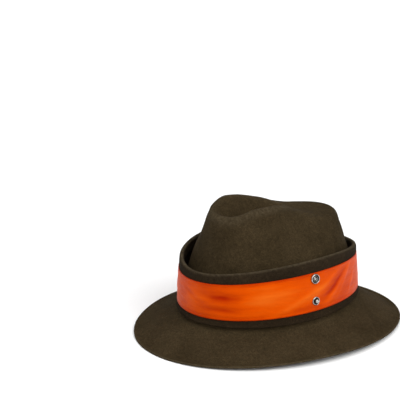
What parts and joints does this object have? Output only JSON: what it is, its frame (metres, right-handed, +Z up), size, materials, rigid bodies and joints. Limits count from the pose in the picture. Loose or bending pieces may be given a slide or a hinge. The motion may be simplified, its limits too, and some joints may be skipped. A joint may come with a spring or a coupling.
{
  "type": "hunting hat",
  "caption": "Felt hunting hat with a pinched teardrop crown, sloping brim and turned-up cuff that shows an orange signal band with a snap fastener.",
  "frame": {"origin": "middle of the hat on the surface it stands on", "axes": "+Z up, -Y towards the front of the hat, +X towards the wearer's left"},
  "size_m": [0.2656, 0.3142, 0.1485],
  "materials": {
    "felt": "matt olive-brown wool felt",
    "cuff_felt": "matt olive-brown wool felt",
    "signal_fabric": "satin signal orange cloth",
    "nickel": "polished nickel",
    "nickel_back": "plain nickel"
  },
  "bodies": {
    "root": {"hat_body": "felt", "cuff": "cuff_felt", "signal_band": "signal_fabric", "snap_cap": "nickel", "snap_socket": "nickel", "snap_stud": "nickel", "snap_rivet": "nickel_back"}
  },
  "joints": []
}
